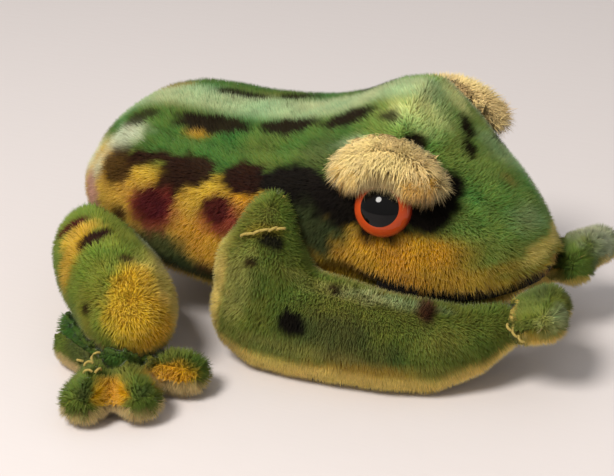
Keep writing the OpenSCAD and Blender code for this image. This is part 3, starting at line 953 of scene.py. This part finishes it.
def lip_edge(at):
    """1 along the lip, where longer pile hangs over the mouth."""
    return smooth(38, 34, at[:, 2]) * smooth(18, 26, at[:, 0])


# How far the eyes look up, and forward of straight out
EYE_UP = math.radians(24)
EYE_FORWARD = math.radians(8)


def eye_frame(side):
    """Middle of the eye's base, the way it looks, a way across, and its sizes:
    radius, height, radius of the pupil and height of the pupil's floor."""
    name = "right" if side < 0 else "left"
    parts = [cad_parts[f"{name}_eye_{n}"].data.vertices for n in ("glass", "pupil")]
    co = np.array([v.co for part in parts for v in part])
    black = np.array([v.co for v in parts[1]])
    flat = math.cos(EYE_UP)
    forward, out = math.sin(EYE_FORWARD), math.cos(EYE_FORWARD)
    way = np.array([forward * flat, side * out * flat, math.sin(EYE_UP)])
    across = np.cross(way, [0, 0, 1])
    across /= np.linalg.norm(across)
    third = np.cross(way, across)
    span = [(co @ a).min() + (co @ a).max() for a in (across, third)]
    reach = np.ptp(co @ across) / 2
    low, high = (co @ way).min(), (co @ way).max()
    base = across * span[0] / 2 + third * span[1] / 2 + way * low
    sizes = reach, high - low, np.ptp(black @ across) / 2, (black @ way).min() - low
    return base, way, across, sizes


def clear_of_eyes(co):
    """1 where pile may stand, 0 under the glass of an eye."""
    free = np.ones(len(co))
    for _, side in SIDES:
        base, way, _, (reach, *_) = eye_frame(side)
        off = co - base
        rise = off @ way
        far = np.linalg.norm(off - rise[:, None] * way, axis=1)
        near = (rise > -0.012) & (rise < 0.02)
        free *= np.where(near, smooth(reach + 0.2 * MM, reach + 1.0 * MM, far), 1)
    return free


# Room between the pile's ends and the wadding, so that none shows through a seam
WADDING_ROOM = 7 * MM

# Node, piece, slot and number of locks
TRUNK = (
    ("back_panel", "back_cover", "mohair_green", 44000),
    ("right_side_panel", "right_side_cover", "mohair_gold", 44000),
    ("left_side_panel", "left_side_cover", "mohair_gold", 40000),
    ("belly_panel", "belly_cover", "mohair_cream", 20000),
)


class FROG_OT_body(bpy.types.Operator):
    """Makes the covers of the body and the wadding inside"""

    bl_idname = "frog.body"
    bl_label = "Body"

    def execute(self, context):
        pile = context.scene.frog_pile
        panels = [row[0] for row in TRUNK]
        eyes = [f"{s}_eye_{n}" for s, _ in SIDES for n in ("glass", "pupil", "shank")]
        outer, quads = hull_of([*panels, "body_stuffing", *eyes], 2.0 * MM, 12)
        owner = nearest_node(outer[quads].mean(1), panels)
        rim = np.zeros(len(outer), int)
        first = np.full(len(outer), -1)
        for k in range(4):
            seen = quads[:, k]
            rim[seen[(first[seen] >= 0) & (first[seen] != owner)]] = 1
            first[seen] = owner
        seam = kdtree.KDTree(int(rim.sum()))
        for i, p in enumerate(outer[rim == 1]):
            seam.insert(p, i)
        seam.balance()
        gap = np.array([seam.find(p)[2] for p in outer])
        depth = pile.depth + pile.groove * np.exp(-((gap / (3 * MM)) ** 2))
        skin = sunk(outer, quads, depth[:, None])
        normal = normals_of(skin, quads)
        tint = body_tint(outer / MM, normal)
        lay = body_lay(outer / MM, normal)
        cover = clear_of_eyes(outer)
        for k, (node, name, slot, locks) in enumerate(TRUNK):
            part = patch(skin, quads, owner == k, normal, tint, lay, cover)
            co, some, n, t, way, free = part
            co, some, outside = shelled(co, some, n, pile.cloth)
            free = np.concatenate([free, np.zeros(len(free))])
            tall = 1 + 0.7 * lip_edge(co / MM) * (k in (1, 2))
            t, way = t[outside], way[outside]
            plush(name, [node], "body", slot, co, some, t, way, free, tall, locks)
        core, some = hull_of(["body_stuffing"], 3.0 * MM, 8)
        core = kept_inside(core, some, (outer, quads), WADDING_ROOM)
        wool = shared("wadding", fibrous, srgb("e8dfca"), srgb("b9a988"), 900.0, 0.0006)
        filled("wadding", "body_stuffing", core, some, wool)
        return {"FINISHED"}


def brow_line(co, quads):
    """Draws the two ends of an eyelid up, so that its lower edge runs nearly straight."""
    co = co.copy()
    line = np.interp(co[:, 0] / MM, [20, 48], [71.5, 70]) * MM
    under = np.maximum(line - co[:, 2], 0)
    co[:, 2] += 0.85 * under**2 / (under + 3 * MM)
    return relaxed(co, quads, 8)


# Most of a form's thickness by which its cloth may lie under the ends of the pile
MOST_SET_IN = 0.36


def limb(name, nodes, body, locks, paint, way, **more):
    """A stuffed limb round its CAD nodes, with its pile brushed one way.
    paint takes places in millimetres and normals."""
    pile = bpy.context.scene.frog_pile
    depth = more.pop("depth", pile.depth)
    outer, quads = hull_of(nodes, more.pop("voxel", 1.6) * MM, more.pop("rounds", 8))
    mould = more.pop("mould", None)
    outer = mould(outer, quads) if mould else outer
    set_in = np.minimum(depth, MOST_SET_IN * thickness(outer, quads))
    skin = sunk(outer, quads, set_in[:, None])
    normal = normals_of(skin, quads)
    over = more.get("length", pile.length) - depth
    tall = (set_in + over) / (depth + over)
    tint = paint(outer / MM, normal)
    lay = np.tile(way, (len(outer), 1))
    lay = lay - normal * (lay * normal).sum(1)[:, None]
    slot = more.pop("slot", "mohair_green")
    one = np.ones(len(skin))
    return plush(name, nodes, body, slot, skin, quads, tint, lay, one, tall, locks, **more)


class FROG_OT_arms(bpy.types.Operator):
    """Makes the arms and the hands"""

    bl_idname = "frog.arms"
    bl_label = "Arms"

    def execute(self, context):
        for word, side in SIDES:

            def arm_paint(at, n, side=side):
                inside = n[:, 1] * side
                under = smooth(-0.3, -0.7, inside) * smooth(60, 40, at[:, 0])
                below = smooth(-0.1, -0.5, n[:, 2])
                rear = smooth(-0.4, -0.75, n[:, 0]) * smooth(52, 36, at[:, 2])
                share = np.maximum(np.maximum(0.9 * under, below), 0.8 * rear)
                return limb_tint(at, side, "fern", share, ARM_SPRAYS)

            def hand_paint(at, n, side=side):
                below = smooth(-0.2, -0.7, n[:, 2])
                # A paler patch of mist on the far hand only.
                far_patch = FAR_HAND_SPRAYS if side > 0 else ()
                return limb_tint(at, side, "fern", 0.8 * below, HAND_SPRAYS + far_patch)

            arm = f"{word}_arm"
            way = (0.25, 0.15 * side, -0.4)
            sizes = dict(depth=2.0 * MM, length=2.8 * MM)
            limb(f"{arm}_cover", [arm], arm, 46000, arm_paint, way, **sizes)
            hand = f"{word}_hand"
            nodes = [f"{hand}_back", f"{hand}_palm"]
            way = (0.5, -0.1 * side, -0.2)
            sizes = dict(voxel=1.2, rounds=5, depth=2.8 * MM)
            limb(f"{hand}_cover", nodes, hand, 14000, hand_paint, way, **sizes)
        return {"FINISHED"}


class FROG_OT_legs(bpy.types.Operator):
    """Makes the thighs, shins and feet"""

    bl_idname = "frog.legs"
    bl_label = "Legs"

    def execute(self, context):
        for word, side in SIDES:
            leg = f"{word}_leg"

            def thigh_paint(at, n, side=side):
                inner = smooth(0.2, -0.4, n[:, 1] * side) * smooth(-50, -35, at[:, 0])
                below = smooth(-0.4, -0.75, n[:, 2])
                share = np.maximum(0.6 * inner, below)
                return limb_tint(at, side, "leaf", share, THIGH_SPRAYS)

            def foot_paint(at, n, side=side):
                below = smooth(0.05, -0.45, n[:, 2]) * smooth(12, 8, at[:, 2])
                return limb_tint(at, side, "fern", below, FOOT_SPRAYS, "brow")

            def shin_paint(at, n, side=side):
                below = smooth(-0.4, -0.8, n[:, 2]) * smooth(12, 8, at[:, 2])
                # The shin's ground is the deep green of the back: partly its own dark green,
                # partly painted shade for the shadow it lies in between the thigh and the foot.
                return limb_tint(at, side, "deep", below, ())

            thigh = f"{word}_thigh"
            way = (0.35, 0.2 * side, -0.35)
            sizes = dict(depth=2.2 * MM, length=3.1 * MM)
            limb(f"{thigh}_cover", [thigh], leg, 28000, thigh_paint, way, **sizes)
            shin = f"{word}_shin"
            way = (0.35, 0.35 * side, -0.1)
            sizes = dict(voxel=1.4, rounds=5, depth=2.8 * MM)
            limb(f"{shin}_cover", [shin], leg, 7000, shin_paint, way, **sizes)
            foot = f"{word}_foot"
            nodes = [f"{foot}_upper", f"{foot}_sole"]
            sizes = dict(voxel=1.3, rounds=5, depth=2.8 * MM)
            limb(f"{foot}_cover", nodes, leg, 21000, foot_paint, way, **sizes)
        return {"FINISHED"}


class FROG_OT_brows(bpy.types.Operator):
    """Makes the eyelids with their long pile"""

    bl_idname = "frog.brows"
    bl_label = "Eyelids"

    def execute(self, context):
        pile = context.scene.frog_pile
        c = dyes()
        for word, side in SIDES:

            def brow_paint(at, n, side=side):
                colour = np.tile(c["brow"], (len(at), 1))
                low = smooth(71, 63, at[:, 2]) * smooth(36, 41, abs(at[:, 1]))
                colour = mixed(colour, c["tan"], 0.75 * low)
                return sprayed(colour, at, BROW_SPRAYS, side)

            limb(
                f"{word}_brow",
                [f"{word}_eyelid"],
                "body",
                11000,
                brow_paint,
                (0.0, 0.25 * side, -0.35),
                slot="mohair_long",
                voxel=1.4,
                rounds=14,
                depth=5.6 * MM,
                length=pile.brow,
                foot=0.22 * MM,
                segments=2,
                droop=(0, 0.16 * side, -0.3),
                mould=brow_line,
                scatter=0.45,
                finish="long mohair",
            )
        return {"FINISHED"}


def lathe(name, base, way, across, profile, steps, reach):
    """A closed turned shape. Profile: radius and rise, from axis to axis, in metres."""
    third = np.cross(way, across)
    turn = np.arange(steps) * 2 * math.pi / steps
    ring = np.cos(turn)[:, None] * across + np.sin(turn)[:, None] * third
    bm = bmesh.new()
    layer = bm.verts.layers.float.new("out")
    rings = []
    for r, rise in profile:
        places = [base + way * rise] if r == 0 else base + way * rise + ring * r
        made = [bm.verts.new(p) for p in places]
        for v in made:
            v[layer] = r / reach
        rings.append(made)
    for a, b in zip(rings, rings[1:]):
        for k in range(steps):
            four = [a[k % len(a)], a[(k + 1) % len(a)], b[(k + 1) % len(b)], b[k % len(b)]]
            bm.faces.new(list(dict.fromkeys(four)))
    bmesh.ops.recalc_face_normals(bm, faces=bm.faces)
    for f in bm.faces:
        f.smooth = True
    for e in bm.edges:
        if len(e.link_faces) == 2 and e.calc_face_angle() > 0.9:
            e.smooth = False
    me = bpy.data.meshes.new(name)
    bm.to_mesh(me)
    bm.free()
    return linked(name, me)


class FROG_OT_eyes(bpy.types.Operator):
    """Makes the glass eyes"""

    bl_idname = "frog.eyes"
    bl_label = "Eyes"

    def execute(self, context):
        held = context.scene.frog_eyes
        for word, side in SIDES:
            base, way, across, (reach, rise, pupil, floor) = eye_frame(side)
            wall = 2.0 * MM
            ball = (reach**2 + (rise - wall) ** 2) / 2 / (rise - wall)

            def height(r, ball=ball, rise=rise):
                return rise - ball + math.sqrt(ball**2 - r**2)

            outer = [(r, height(r)) for r in np.linspace(pupil, reach, 14)]
            glass_line = [(0, 0), (reach - 0.4 * MM, 0), (reach, 0.4 * MM), (reach, wall * 0.6)]
            glass_line += [*outer[::-1], (pupil, floor), (0, floor)]
            iris = lathe(f"{word}_eye_iris", base, way, across, glass_line, 72, reach)
            iris.data.materials.append(
                shared("orange glass", glass, tuple(held.iris), tuple(held.rim), 0.9)
            )
            edge = pupil - 0.02 * MM
            inner = [(r, height(r)) for r in np.linspace(edge, 0, 14)]
            line = [(0, floor + 0.02 * MM), (edge, floor + 0.02 * MM), *inner]
            black = lathe(f"{word}_eye_black", base, way, across, line, 72, reach)
            black.data.materials.append(
                shared("black glass", glass, tuple(held.pupil), (0.004, 0.004, 0.004), 0.5)
            )
            for piece, node, slot in (
                (iris, "glass", "glass_orange"),
                (black, "pupil", "glass_black"),
            ):
                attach(piece, "body")
                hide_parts(f"{word}_eye_{node}")
            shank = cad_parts[f"{word}_eye_shank"]
            shank.data.materials.clear()
            shank.data.materials.append(shared("steel wire", wire))
        return {"FINISHED"}


class FROG_OT_mouth(bpy.types.Operator):
    """Makes the felt line of the mouth"""

    bl_idname = "frog.mouth"
    bl_label = "Mouth"

    def execute(self, context):
        held = context.scene.frog_eyes
        co, quads = hull_of(["mouth_felt"], 0.6 * MM, 4)
        dark = tuple(0.4 * v for v in held.felt)
        felt = shared("felt", fibrous, tuple(held.felt), dark, 1600.0, 0.0004)
        filled("mouth_line", "mouth_felt", co, quads, felt)
        return {"FINISHED"}


# How deep the ends of a stitch lie in the pile
STITCH_SUNK = 0.9 * MM

# Closing stitches of the right side by limb: place (mm), way of the thread, way it stands
STITCHES = {
    "arm": (
        ((-7.2, -55.8, 50.6), (0.9, 0.1, 0.5), (-0.24, -0.85, 0.46)),
        ((-5.0, -55.8, 51.4), (0.9, 0.1, 0.2), (-0.2, -0.85, 0.48)),
        ((-2.6, -55.6, 52.4), (0.9, 0.2, 0.6), (0.1, -0.8, 0.55)),
        ((-0.2, -54.8, 53.2), (0.9, 0.2, 0.3), (0.29, -0.76, 0.58)),
        ((2.2, -53.8, 53.6), (0.8, 0.3, 0.5), (0.29, -0.76, 0.58)),
        ((4.4, -52.6, 53.6), (0.8, 0.4, 0.1), (0.4, -0.7, 0.58)),
    ),
    "hand": (
        ((77.4, -38.0, 26.6), (0.8, -0.3, -0.5), (-0.5, -0.8, 0.3)),
        ((79.6, -38.8, 25.2), (0.8, -0.2, -0.6), (-0.3, -0.9, 0.2)),
        ((81.8, -38.8, 23.6), (0.7, 0.1, -0.7), (-0.1, -0.95, -0.2)),
    ),
    "leg": (
        ((-46.0, -87.0, 13.8), (0.7, 0.3, 0.6), (-0.3, -0.6, 0.7)),
        ((-45.2, -90.5, 14.2), (0.3, -0.9, 0.2), (-0.3, -0.2, 0.9)),
        ((-52.0, -87.4, 10.4), (0.8, -0.4, 0.3), (-0.4, -0.7, 0.5)),
        ((-44.0, -95.0, 15.0), (0.8, 0.5, 0.2), (-0.3, 0.0, 0.95)),
        ((-41.6, -99.6, 15.0), (0.9, 0.3, 0.1), (-0.2, -0.2, 0.95)),
        ((-38.8, -97.6, 15.0), (0.2, 0.9, 0.0), (0.3, 0.0, 0.95)),
    ),
}
STITCH_INPUTS = (
    ("Length", "NodeSocketFloat", 0.0027),
    ("Thread", "NodeSocketFloat", 0.00045),
    ("Finish", "NodeSocketMaterial", None),
)


def stitch_tree():
    """A loop of thread on each seat, laid as the seat says."""
    tree, s, given = new_tree("closing stitches", "Seats", STITCH_INPUTS)
    bend = s.add(
        "GeometryNodeCurveArc",
        {"Resolution": 8, "Radius": 0.55, "Start Angle": 0.35, "Sweep Angle": 2.44},
    )
    thin = s.math("DIVIDE", given["Thread"], given["Length"])
    ring = s.add("GeometryNodeCurvePrimitiveCircle", {"Resolution": 6, "Radius": thin})
    loop = s.add(
        "GeometryNodeCurveToMesh",
        {"Curve": bend.outputs[0], "Profile Curve": ring.outputs[0], "Fill Caps": True},
    )
    turn = s.add(
        "FunctionNodeAxesToRotation",
        {0: s.held("rise", "FLOAT_VECTOR"), 1: s.held("run", "FLOAT_VECTOR")},
        primary_axis="Y",
        secondary_axis="X",
    )
    laid = s.add(
        "GeometryNodeInstanceOnPoints",
        {
            "Points": given["Seats"],
            "Instance": loop.outputs[0],
            "Rotation": turn.outputs[0],
            "Scale": s.add(
                "ShaderNodeCombineXYZ", {i: given["Length"] for i in range(3)}
            ).outputs[0],
        },
    )
    return ended(tree, s, laid.outputs[0], given["Finish"])


class FROG_OT_stitches(bpy.types.Operator):
    """Sews the closing stitches of the limbs"""

    bl_idname = "frog.stitches"
    bl_label = "Stitches"

    def execute(self, context):
        held = context.scene.frog_eyes
        dark = tuple(0.45 * v for v in held.thread)
        finish = shared("thread", fibrous, tuple(held.thread), dark, 2500.0, 0.0001)
        tree = stitch_tree()
        for word, side in SIDES:
            flip = np.array([1, -side, 1])
            for part, seats in STITCHES.items():
                places, runs, rises = (np.array(v) * flip for v in zip(*seats))
                me = bpy.data.meshes.new(f"{word}_{part}_stitches")
                sunk_by = STITCH_SUNK * unit(rises)
                me.from_pydata((places * MM - sunk_by).tolist(), [], [])
                store(me, "run", "FLOAT_VECTOR", runs)
                store(me, "rise", "FLOAT_VECTOR", rises)
                obj = linked(me.name, me)
                apply_nodes(obj, tree, {"Finish": finish})
                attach(obj, f"{word}_{part}")
        return {"FINISHED"}


# ---------------------------------------------------------------- stage

CAMERA_AT = (0.2150, -0.5050, 0.2830)
CAMERA_RIGHT = (0.9135, 0.4067, 0.0)
CAMERA_UP = (-0.1719, 0.3861, 0.9063)
CAMERA_WAY = (-0.3686, 0.8280, -0.4226)
CAMERA_LENS = 100.6
LAMP_WAY = (-0.14, -0.6, 0.788)
LAMP_FAR = 1.2
LAMP_SIZE = 0.4
FLOOR_HALF = 4.0


class FROG_OT_stage(bpy.types.Operator):
    """Makes the floor, the light and the camera"""

    bl_idname = "frog.stage"
    bl_label = "Stage"

    def execute(self, context):
        held = context.scene.frog_stage
        scene = context.scene
        me = bpy.data.meshes.new("floor")
        corners = ((-1, -1), (1, -1), (1, 1), (-1, 1))
        places = [(FLOOR_HALF * x, FLOOR_HALF * y, 0) for x, y in corners]
        me.from_pydata(places, [], [(0, 1, 2, 3)])
        mat, s, shader = finish_of("table")
        grain = s.add("ShaderNodeMapping", {"Vector": s.where(), "Scale": (60.0, 900.0, 1.0)})
        rough = s.ranged(s.noise(grain.outputs[0], 1.0), 0.3, 0.7, 0.45, 0.65)
        s.feed(shader, {"Base Color": (*held.floor, 1), "Roughness": rough})
        me.materials.append(mat)
        linked("floor", me)
        lamp = bpy.data.lights.new("key", "AREA")
        lamp.energy = held.key
        lamp.shape = "DISK"
        lamp.size = LAMP_SIZE
        lamp.color = (1.0, 0.96, 0.9)
        key = linked("key", lamp)
        key.location = Vector(LAMP_WAY) * LAMP_FAR
        key.rotation_euler = Vector(LAMP_WAY).to_track_quat("Z", "Y").to_euler()
        world = bpy.data.worlds.new("surround")
        world.use_nodes = True
        sky = Sketch(world.node_tree)
        back = world.node_tree.nodes["Background"]
        way = sky.add("ShaderNodeTexCoord").outputs["Generated"]
        rise = sky.add("ShaderNodeSeparateXYZ", {0: way}).outputs["Z"]
        level = sky.ranged(rise, 0.1, 0.9, held.sky, 1.2 * held.sky)
        sky.feed(back, {"Color": (1.0, 0.98, 0.96, 1), "Strength": level})
        scene.world = world
        scene.view_settings.view_transform = "Standard"
        eye = bpy.data.cameras.new("camera")
        eye.lens = CAMERA_LENS
        eye.sensor_width = 36.0
        eye.sensor_fit = "HORIZONTAL"
        eye.clip_start = 0.01
        camera = linked("camera", eye)
        axes = Matrix((CAMERA_RIGHT, CAMERA_UP, [-v for v in CAMERA_WAY])).transposed()
        camera.matrix_world = Matrix.Translation(CAMERA_AT) @ axes.to_4x4()
        scene.camera = camera
        return {"FINISHED"}


# ---------------------------------------------------------------- add-on


class FROG_PT_make(bpy.types.Panel):
    """Lists what makes the frog"""

    bl_idname = "FROG_PT_make"
    bl_label = "Mohair Frog"
    bl_space_type = "VIEW_3D"
    bl_region_type = "UI"
    bl_category = "Frog"

    def draw(self, context):
        for operator in OPERATORS:
            self.layout.operator(operator.bl_idname)
        for group in GROUPS:
            held = getattr(context.scene, group)
            for name in held.bl_rna.properties.keys():
                if name not in ("rna_type", "name"):
                    self.layout.prop(held, name)


GROUPS = {
    "frog_dyes": FrogDyes,
    "frog_pile": FrogPile,
    "frog_eyes": FrogEyes,
    "frog_stage": FrogStage,
}
OPERATORS = (
    FROG_OT_stage,
    FROG_OT_body,
    FROG_OT_arms,
    FROG_OT_legs,
    FROG_OT_brows,
    FROG_OT_eyes,
    FROG_OT_mouth,
    FROG_OT_stitches,
)


def register():
    for name, group in GROUPS.items():
        bpy.utils.register_class(group)
        setattr(bpy.types.Scene, name, bpy.props.PointerProperty(type=group))
    for operator in OPERATORS:
        bpy.utils.register_class(operator)
    bpy.utils.register_class(FROG_PT_make)


def unregister():
    bpy.utils.unregister_class(FROG_PT_make)
    for operator in reversed(OPERATORS):
        bpy.utils.unregister_class(operator)
    for name, group in GROUPS.items():
        delattr(bpy.types.Scene, name)
        bpy.utils.unregister_class(group)


def main():
    register()
    for operator in OPERATORS:
        getattr(bpy.ops.frog, operator.bl_idname.removeprefix("frog."))()


if __name__ == "__main__":
    main()
